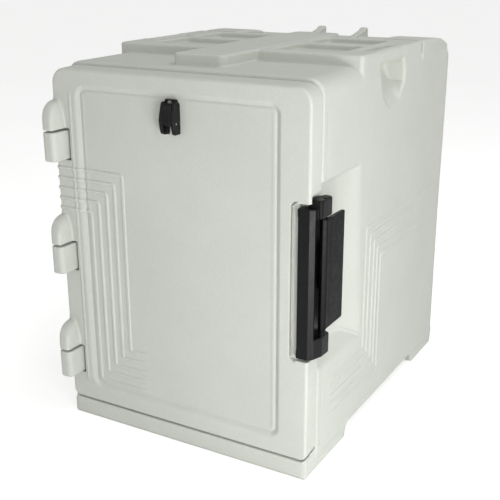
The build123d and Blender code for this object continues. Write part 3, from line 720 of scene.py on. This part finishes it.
# a narrow gutter round the notch
door.bump(
    lambda x, y, z: -2.6 * ridge(np.abs(rect2(x, z, 202, 290, 203, 446, 7.0) - 2.3), 0.5, 1.3) * smooth01((212 - x) / 8) * (y < 5),
    (196, 212, -5, 6, 197, 452),
)
door.cut(rbox(210.5, 280, -40, 16, 203, 446, 1.0), (203, 240, -6, 24, 195, 454), 1.0)
door.cut(rbox(221, 280, 7, 90, 203, 457, 1.0), (214, 240, 0, 44, 195, 465), 1.6)
door.cut(rod("y", 0, 561, 6.55, -30, 90), (-10, 10, -6, 60, 550, 572), 0.4)
door.cut(rod("z", -60, 20, 7.05, 0, 59.9), (-72, -48, 8, 32, 28, 64), 0.6)
for z in (268.0, 353.0):
    door.cut(rod("x", 11, z, 4.05, 200, 230), (196, 214, 5, 17, z - 7, z + 7), 0.3)

door_x = lines(-238, 236, 6.0 * R, [(-234, -50, 1.9 * R), (-12, 12, 1.8 * R), (146, 200, 2.4 * R), (197, 206, 0.9 * R), (206, 234, 1.8 * R)])
door_y = lines(-41, 56, 2.3 * R, [(-37, -5, 2.0 * R), (-5, 6, 1.0 * R), (6, 56, 1.6 * R)])
door_z = lines(26, 622, 4.6 * R, [(28, 156, 1.9 * R), (374, 460, 1.9 * R), (550, 620, 1.9 * R)] + [(g - 54, g - 47, 1.9 * R) for g in GAPS]
               + [(g - 3, g + 5, 1.5) for g in GAPS] + [(g + 5, g + 56, 2.3 * R) for g in GAPS] + [(196, 214, 1.8 * R), (438, 462, 1.8 * R)])
door_shell = build("door_shell_v", door, door_x, door_y, door_z, 165000, 1.0, hollow="door_foam")

# ------------------------------------------------------------ small mouldings
def bracket_form(x, y, z):
    pts = [(211, -1.4), (212.5, -3), (230.5, -3), (237.5, 4), (237.5, 46), (231, 46), (229, 40), (221, 36), (221, 16), (211, 16)]
    d = slab(poly2(x, y, pts), z, 208, 440, 1.6)
    ear = slab(poly2(x, y, [(223, 10), (242, 10), (244.5, 14), (244.5, 42), (241, 46), (231, 46), (229, 40), (223, 36)]), z, 424, 452, 2.6)
    return smin(d, ear, 1.0)


bracket = Solid(bracket_form)
# a shallow channel down the front face, a wide bevel towards the side
bracket.bump(lambda x, y, z: -0.7 * ridge(np.abs(x - 214.5) + 0 * z, 3.2, 1.0) * (y < 0) * (np.abs(z - 324) < 104), (206, 222, -8, 2, 216, 432))
bracket.cut(rbox(226.5, 250, 5, 18, 232, 424, 0.8), (220, 250, 0, 24, 226, 430), 0.8)
bracket.cut(rbox(230, 260, 17.5, 60, 240, 424, 1.0), (224, 250, 12, 56, 234, 430), 0.8)
CHEEK = [(229, -1.5), (237.5, 4), (243.5, 20), (244.5, 42), (241, 46), (229, 46)]
bracket.add(lambda x, y, z: slab(poly2(x, y, CHEEK), z, 208, 240, 1.6), (224, 250, -8, 50, 202, 244), 0.8)
bracket.cut(rod("z", PIV_X, PIV_Y, 2.55, 190, 470), (236, 244, 22, 30, 200, 460), 0.2)
for z in (268.0, 353.0):
    bracket.cut(rod("x", 11, z, 2.65, 195, 240), (198, 232, 7, 15, z - 5, z + 5), 0.2)
latch_bracket = build(
    "latch_bracket_v", bracket, lines(200, 250, 1.4 * R, []), lines(-6, 50, 1.4 * R, []),
    lines(202, 458, 2.6 * R, [(204, 216, 1.3 * R), (228, 244, 1.3 * R), (263, 273, 1.3), (348, 358, 1.3), (420, 456, 1.3 * R)]),
    60000, 0.6, wear=0.8,
)

PADDLE = [(237.6, 22.5), (241.0, 18.8), (246.6, 23.4), (247.0, 40), (247.0, 76), (247.0, 82), (245.4, 84.4), (242.6, 84.4), (241.0, 82), (240.4, 76), (240, 40), (238.4, 31)]


def paddle_form(x, y, z):
    drum = slab(length(x - PIV_X, y - PIV_Y) - PIV_R, z, 241, 423, 0.6)
    grip = slab(poly2(x, y, PADDLE) + 0 * z, z, 247, 422, 1.0)
    # the free corners of the grip are rounded
    grip = smax(grip, rect2(y, z, -40, 84.6, 252, 422, 3.0), 1.0)
    return smin(drum, grip, 2.0)


paddle = Solid(paddle_form)
HOOK = [(241.5, 52), (241.5, 70), (232, 70), (224, 67), (220, 64), (219.5, 58.6), (223, 58.6), (229, 59.5), (233, 54)]
paddle.add(lambda x, y, z: slab(poly2(x, y, HOOK) + 0 * z, z, 300, 376, 0.8), (212, 250, 44, 78, 294, 382), 1.2)
paddle.cut(rod("z", PIV_X, PIV_Y, 2.58, 190, 470), (236, 244, 22, 30, 230, 440), 0.2)
latch_paddle = build(
    "latch_paddle_v", paddle, lines(215, 252, 1.0 * R, []), lines(14, 90, 1.2 * R, [(60, 78, 0.9 * R)]),
    lines(236, 428, 2.4 * R, [(238, 264, 1.3 * R), (296, 304, 1.2 * R), (372, 380, 1.2 * R), (408, 426, 1.3 * R)]),
    60000, 0.5, wear=0.8,
)

SIDE_V = [(-2.6, 572), (-6, 574), (-9, 572), (-14, 556), (-16, 548), (-14.5, 538), (-12, 527), (-6, 524), (3, 524), (3, 572)]


def vent_form(x, y, z):
    front = rect2(x, z, -13.5, 13.5, 524, 577, 5.5)
    plate = slab(poly2(x, z, [(-13.5, 526), (13.5, 526), (13.5, 568), (9, 577), (-9, 577), (-13.5, 568)]), y, -2.5, 3, 0.8)
    walls = slab(poly2(y, z, SIDE_V), x, -13.5, 13.5, 1.6)
    d = smin(plate, smax(walls, front, 1.5), 1.0)
    # the lower end is a fork with an arched opening
    d = smax(d, -slab(rect2(x, z, -8, 8, 480, 590, 1.0), y, -60, -2.5, 0.6), 0.8)
    arch = smin(length(x, z - 532) - 5.5, rect2(x, z, -5.5, 5.5, 500, 532, 0.1), 0.1)
    return smax(d, -slab(arch, y, -60, 20), 0.8)


housing = Solid(vent_form)
housing.cut(rod("y", 0, 561, 6.55, -30, 20), (-9, 9, -8, 8, 551, 571), 0.3)
housing.cut(rod("x", -7, 542, 1.65, -20, 20), (-18, 18, -10, -4, 539, 545), 0.2)
vent_housing = build("vent_housing_v", housing, lines(-16, 16, 0.7 * R, []), lines(-19, 5, 0.7 * R, []), lines(521, 580, 0.8 * R, []), 40000, 0.4, wear=0.6)

LEVER = [(-5.5, 571), (-9, 572), (-12, 569), (-14.5, 556), (-17, 548), (-15.5, 541.5), (-13, 538.8), (-9.5, 538.4), (-7, 538.2), (-4.4, 539.4), (-3.4, 542), (-4.2, 545), (-8, 549), (-8.5, 566)]


def lever_form(x, y, z):
    return slab(poly2(y, z, LEVER), x, -7.6, 7.6, 1.4)


lever = Solid(lever_form)
# thumb grooves on the bulge
lever.bump(lambda x, y, z: -0.45 * smooth01((np.cos((z - 548.0) * 2 * np.pi / 3.0) + 0.1) / 0.8) * (np.abs(z - 548) < 7.6) * (y < -10) * smooth01((6.6 - np.abs(x)) / 1.0), (-8, 8, -20, -10, 539, 557))
lever.cut(rod("x", -7, 542, 1.68, -20, 20), (-9, 9, -10, -4, 539, 545), 0.2)
lever.cut(rod("y", 0, 561, 2.05, -11, 6), (-4, 4, -12, -4, 557, 565), 0.2)
lever.cut(rod("y", 0, 561, 6.5, -8, 6), (-8, 8, -9, -2, 553, 569), 0.2)
vent_lever = build("vent_lever_v", lever, lines(-9, 9, 0.55 * R, []), lines(-19, -1, 0.55 * R, []), lines(535, 574, 0.6 * R, []), 40000, 0.4, wear=0.6)

for ob, node, b in (
    (body_shell, "body_shell", "body"), (door_shell, "door_shell", "door"), (latch_bracket, "latch_bracket", "door"),
    (latch_paddle, "latch_paddle", "paddle"), (vent_housing, "vent_housing", "door"), (vent_lever, "vent_lever", "vent"),
):
    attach(ob, b)
    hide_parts(node)


# ------------------------------------------------------------------ materials
def lin(r, g, b):
    return tuple(((c / 255 + 0.055) / 1.055) ** 2.4 if c > 10 else c / 255 / 12.92 for c in (r, g, b)) + (1.0,)


class Nodes:
    def __init__(self, name):
        self.mat = bpy.data.materials.new(name)
        self.mat.use_nodes = True
        self.t = self.mat.node_tree
        self.t.nodes.clear()
        self.out = self.t.nodes.new("ShaderNodeOutputMaterial")
        self.bsdf = self.t.nodes.new("ShaderNodeBsdfPrincipled")
        self.t.links.new(self.bsdf.outputs[0], self.out.inputs[0])
        self.co = self.t.nodes.new("ShaderNodeTexCoord").outputs["Object"]

    def put(self, socket, value):
        if isinstance(value, bpy.types.NodeSocket):
            self.t.links.new(value, socket)
        else:
            socket.default_value = value

    def set(self, **kw):
        for k, v in kw.items():
            self.put(self.bsdf.inputs[k.replace("_", " ")], v)

    def stretch(self, sx, sy, sz):
        m = self.t.nodes.new("ShaderNodeMapping")
        m.inputs["Scale"].default_value = (sx, sy, sz)
        self.t.links.new(self.co, m.inputs[0])
        return m.outputs[0]

    def noise(self, scale, detail=2.0, rough=0.5, co=None, distortion=0.0):
        n = self.t.nodes.new("ShaderNodeTexNoise")
        n.inputs["Scale"].default_value = scale
        n.inputs["Detail"].default_value = detail
        n.inputs["Roughness"].default_value = rough
        n.inputs["Distortion"].default_value = distortion
        self.t.links.new(co or self.co, n.inputs["Vector"])
        return n.outputs[0]

    def cells(self, scale, co=None, feature="F1"):
        n = self.t.nodes.new("ShaderNodeTexVoronoi")
        n.feature = feature
        n.inputs["Scale"].default_value = scale
        self.t.links.new(co or self.co, n.inputs["Vector"])
        return n.outputs["Distance"]

    def ramp(self, v, lo, hi, a=0.0, b=1.0):
        n = self.t.nodes.new("ShaderNodeMapRange")
        n.inputs["From Min"].default_value = lo
        n.inputs["From Max"].default_value = hi
        n.inputs["To Min"].default_value = a
        n.inputs["To Max"].default_value = b
        self.put(n.inputs["Value"], v)
        return n.outputs[0]

    def math(self, op, a, b=0.0):
        n = self.t.nodes.new("ShaderNodeMath")
        n.operation = op
        self.put(n.inputs[0], a)
        self.put(n.inputs[1], b)
        return n.outputs[0]

    def mix(self, fac, a, b, how="MIX"):
        n = self.t.nodes.new("ShaderNodeMix")
        n.data_type = "RGBA"
        n.blend_type = how
        self.put(n.inputs[0], fac)
        self.put(n.inputs[6], a)
        self.put(n.inputs[7], b)
        return n.outputs[2]

    def attr(self, name):
        n = self.t.nodes.new("ShaderNodeAttribute")
        n.attribute_name = name
        return n.outputs["Fac"]

    def bump(self, height, strength, distance, normal=None):
        n = self.t.nodes.new("ShaderNodeBump")
        n.inputs["Strength"].default_value = strength
        n.inputs["Distance"].default_value = distance
        self.t.links.new(height, n.inputs["Height"])
        if normal is not None:
            self.t.links.new(normal, n.inputs["Normal"])
        return n.outputs[0]


def polyethylene():
    m = Nodes("polyethylene_speckled")
    base, pale, dark = lin(204, 207, 199), lin(214, 216, 209), lin(176, 180, 170)
    mott = m.noise(9.0, 3.0, 0.6)
    col = m.mix(m.ramp(mott, 0.35, 0.65, 0, 0.35), base, pale)
    # grains of darker and lighter powder, about 1 mm
    g1 = m.noise(1150.0, 1.0, 0.5)
    col = m.mix(m.ramp(g1, 0.55, 0.72, 0, 0.42), col, dark)
    g2 = m.noise(800.0, 1.0, 0.5, co=m.stretch(1.0, 1.03, 0.97))
    col = m.mix(m.ramp(g2, 0.6, 0.76, 0, 0.5), col, lin(229, 231, 226))
    g3 = m.cells(330.0)
    col = m.mix(m.ramp(g3, 0.10, 0.16, 0.22, 0.0), col, lin(140, 145, 136))
    edge, nook = m.attr("edge"), m.attr("nook")
    rub = m.math("MULTIPLY", m.ramp(edge, 0.25, 0.9), m.ramp(m.noise(60.0, 4.0, 0.7), 0.42, 0.62))
    col = m.mix(m.math("MULTIPLY", rub, 0.35), col, lin(232, 233, 228))
    # painted shade: the plastic darkens towards grey-green where it is enclosed (nook), in patches broken up by noise
    nook_shade = m.math("MULTIPLY", m.ramp(nook, 0.12, 0.75), m.ramp(m.noise(22.0, 4.0, 0.65), 0.25, 0.75, 0.35, 1.0))
    col = m.mix(m.math("MULTIPLY", nook_shade, 0.16), col, lin(150, 150, 138))
    rough = m.ramp(m.noise(35.0, 4.0, 0.6), 0.3, 0.7, 0.46, 0.6)
    rough = m.math("SUBTRACT", rough, m.math("MULTIPLY", rub, 0.10))
    h = m.math("ADD", m.math("MULTIPLY", m.noise(620.0, 3.0, 0.6), 0.6), m.math("MULTIPLY", m.noise(170.0, 2.0, 0.5), 0.7))
    n = m.bump(h, 0.35, 0.00035)
    # a few faint scuffs
    sc = m.noise(45.0, 6.0, 0.75, co=m.stretch(1.0, 1.0, 9.0), distortion=0.4)
    rough = m.math("ADD", rough, m.ramp(sc, 0.62, 0.72, 0.0, 0.07))
    m.set(Base_Color=col, Roughness=rough, Normal=n, IOR=1.5)
    m.bsdf.inputs["Subsurface Weight"].default_value = 0.0
    m.bsdf.inputs["Specular IOR Level"].default_value = 0.42
    return m.mat


def nylon(name="nylon_black", rgb=(10, 10, 11), pale=(20, 21, 23), gloss=0.3):
    m = Nodes(name)
    mott = m.noise(55.0, 4.0, 0.6)
    col = m.mix(m.ramp(mott, 0.3, 0.7, 0.0, 0.35), lin(*rgb), lin(*pale))
    edge = m.attr("edge")
    rub = m.math("MULTIPLY", m.ramp(edge, 0.2, 0.9), m.ramp(m.noise(160.0, 4.0, 0.7), 0.38, 0.62))
    col = m.mix(m.math("MULTIPLY", rub, 0.45), col, lin(66, 67, 70))
    dust = m.ramp(m.noise(900.0, 2.0, 0.5), 0.66, 0.78, 0.0, 0.25)
    col = m.mix(dust, col, lin(60, 60, 60))
    rough = m.ramp(m.noise(120.0, 4.0, 0.6), 0.3, 0.7, 0.30, 0.46)
    rough = m.math("SUBTRACT", rough, m.math("MULTIPLY", rub, 0.08))
    n = m.bump(m.noise(1500.0, 2.0, 0.6), 0.30, 0.00012)
    n = m.bump(m.noise(240.0, 2.0, 0.5), 0.12, 0.0002, n)
    m.set(Base_Color=col, Roughness=rough, Normal=n)
    m.bsdf.inputs["Specular IOR Level"].default_value = gloss
    return m.mat


def metal(name, rgb, tint, r0, r1, axis):
    m = Nodes(name)
    s = {"x": (0.06, 1, 1), "y": (1, 0.06, 1), "z": (1, 1, 0.06)}[axis]
    brush = m.noise(2600.0, 3.0, 0.6, co=m.stretch(*s))
    blot = m.noise(180.0, 4.0, 0.65)
    col = m.mix(m.ramp(blot, 0.35, 0.7, 0.0, 0.6), lin(*rgb), lin(*tint))
    col = m.mix(m.ramp(m.noise(420.0, 4.0, 0.7), 0.62, 0.75, 0.0, 0.4), col, lin(92, 86, 78))
    rough = m.math("ADD", m.ramp(brush, 0.3, 0.7, r0, r1), m.ramp(blot, 0.5, 0.8, 0.0, 0.12))
    n = m.bump(brush, 0.25, 0.00006)
    m.set(Base_Color=col, Metallic=1.0, Roughness=rough, Normal=n)
    return m.mat


def rubber():
    m = Nodes("gasket_rubber_grey")
    col = m.mix(m.ramp(m.noise(70.0, 4.0, 0.6), 0.3, 0.7, 0, 0.6), lin(88, 90, 90), lin(112, 114, 112))
    col = m.mix(m.ramp(m.noise(1400.0, 2.0, 0.5), 0.62, 0.76, 0, 0.35), col, lin(150, 150, 146))
    rough = m.ramp(m.noise(90.0, 4.0, 0.6), 0.3, 0.7, 0.55, 0.75)
    n = m.bump(m.noise(900.0, 3.0, 0.6), 0.3, 0.00015)
    m.set(Base_Color=col, Roughness=rough, Normal=n)
    return m.mat


def foam_mat():
    m = Nodes("foam_cream")
    c = m.cells(900.0)
    col = m.mix(m.ramp(c, 0.1, 0.6, 0.0, 0.6), lin(222, 206, 160), lin(240, 228, 190))
    col = m.mix(m.ramp(m.noise(14.0, 4.0, 0.6), 0.35, 0.7, 0, 0.5), col, lin(214, 190, 134))
    n = m.bump(c, 0.6, 0.0006)
    m.set(Base_Color=col, Roughness=m.ramp(m.noise(60.0, 2.0), 0.3, 0.7, 0.8, 0.95), Normal=n)
    return m.mat


PE = polyethylene()
NYLON = nylon()
STEEL = metal("steel_stainless", (196, 197, 198), (170, 171, 172), 0.22, 0.36, "z")
BRASS = metal("brass_insert", (196, 164, 92), (164, 130, 66), 0.26, 0.40, "x")
RUBBER = rubber()
FOAM = foam_mat()
# painted shade: the paddle's nylon is a darker, less glossy copy of the black nylon, so the paddle reads darker under
# the lights
SHADED_PADDLE_NYLON = nylon("nylon_black_paddle_shaded", (8, 8, 9), (16, 16, 18), 0.13)
GREY_NYLON = nylon("nylon_grey_bush", (92, 94, 94), (122, 124, 124))
by_node = {
    "body_shell": PE, "door_shell": PE, "body_fill_plug": PE, "door_fill_plug": PE, "body_foam": FOAM, "door_foam": FOAM,
    "latch_keeper": NYLON, "keeper_screws": STEEL, "keeper_inserts": BRASS, "hinge_pins": STEEL, "hinge_bushes": GREY_NYLON,
    "door_gasket": RUBBER, "latch_bracket": NYLON, "latch_screws": STEEL, "latch_inserts": BRASS, "latch_pin": STEEL,
    "latch_paddle": SHADED_PADDLE_NYLON, "vent_housing": NYLON, "vent_screws": STEEL, "vent_tube": PE, "vent_pin": STEEL,
    "vent_lever": NYLON, "vent_plug": RUBBER,
}


def paint(ob, mat):
    me = ob.data
    if len(me.materials) == 0:
        me.materials.append(mat)
    for s in ob.material_slots:
        s.link = "OBJECT"
        s.material = mat


for name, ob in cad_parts.items():
    paint(ob, by_node[name])
for ob, mat in ((body_shell, PE), (door_shell, PE), (latch_bracket, NYLON), (latch_paddle, SHADED_PADDLE_NYLON), (vent_housing, NYLON), (vent_lever, NYLON)):
    ob.data.materials.append(mat)

# ---------------------------------------------------------- camera and studio
cam = bpy.data.cameras.new("camera")
cam.sensor_width = 36.0
cam.lens = 63.31
camera = bpy.data.objects.new("camera", cam)
bpy.context.scene.collection.objects.link(camera)
az, el, roll = math.radians(29.75), math.radians(18.83), math.radians(-0.20)
back = Vector((math.sin(az) * math.cos(el), -math.cos(az) * math.cos(el), math.sin(el)))
right = Vector((math.cos(az), math.sin(az), 0))
up = back.cross(right)
r2 = math.cos(roll) * right + math.sin(roll) * up
u2 = -math.sin(roll) * right + math.cos(roll) * up
rot = Matrix((r2, u2, back)).transposed().to_4x4()
camera.matrix_world = Matrix.Translation((0.74265, -1.37201, 0.78385)) @ rot
bpy.context.scene.camera = camera


def area(name, loc, target, sx, sy, power, colour=(1, 1, 1)):
    l = bpy.data.lights.new(name, "AREA")
    l.shape = "RECTANGLE"
    l.size, l.size_y = sx, sy
    l.energy = power
    l.color = colour
    o = bpy.data.objects.new(name, l)
    o.location = loc
    o.rotation_euler = (Vector(target) - Vector(loc)).to_track_quat("-Z", "Y").to_euler()
    bpy.context.scene.collection.objects.link(o)
    return o


floor_me = bpy.data.meshes.new("floor")
E = 14.0
floor_me.from_pydata([(-E, -E, 0), (E, -E, 0), (E, E, 0), (-E, E, 0)], [], [(0, 1, 2, 3)])
floor = bpy.data.objects.new("floor", floor_me)
floor.location.z = -0.0005
bpy.context.scene.collection.objects.link(floor)
fm = Nodes("floor_pale")
fm.set(Base_Color=fm.mix(fm.ramp(fm.noise(3.0, 3.0), 0.3, 0.7), lin(246, 246, 245), lin(250, 250, 249)), Roughness=0.85)
seen = fm.t.nodes.new("ShaderNodeLightPath").outputs["Is Camera Ray"]
fm.bsdf.inputs["Emission Color"].default_value = (1.0, 1.0, 1.0, 1.0)
fm.put(fm.bsdf.inputs["Emission Strength"], fm.math("MULTIPLY", seen, 0.54))
floor_me.materials.append(fm.mat)

area("key", (1.75, -2.0, 0.85), (0.1, -0.25, 0.28), 1.5, 1.3, 17.5)
area("low", (1.05, -0.95, 0.16), (0.22, -0.1, 0.16), 0.5, 0.3, 6.0)
area("fill", (-1.5, -2.6, 1.5), (0, 0, 0.3), 1.6, 1.4, 5.5)
area("top", (0.9, 0.2, 2.4), (0.0, 0, 0.5), 1.6, 1.6, 18.5)
world = bpy.data.worlds.new("studio")
world.use_nodes = True
wt = world.node_tree
bg = wt.nodes["Background"]
bg.inputs[0].default_value = (1.0, 1.0, 1.0, 1.0)
ray = wt.nodes.new("ShaderNodeLightPath")
level = wt.nodes.new("ShaderNodeMapRange")
level.inputs["To Min"].default_value = 0.37
level.inputs["To Max"].default_value = 1.0
wt.links.new(ray.outputs["Is Camera Ray"], level.inputs["Value"])
wt.links.new(level.outputs[0], bg.inputs[1])
bpy.context.scene.world = world
bpy.context.scene.view_settings.view_transform = "Standard"

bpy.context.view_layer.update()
print(f"SCENE {time.time() - T0:.1f}s")
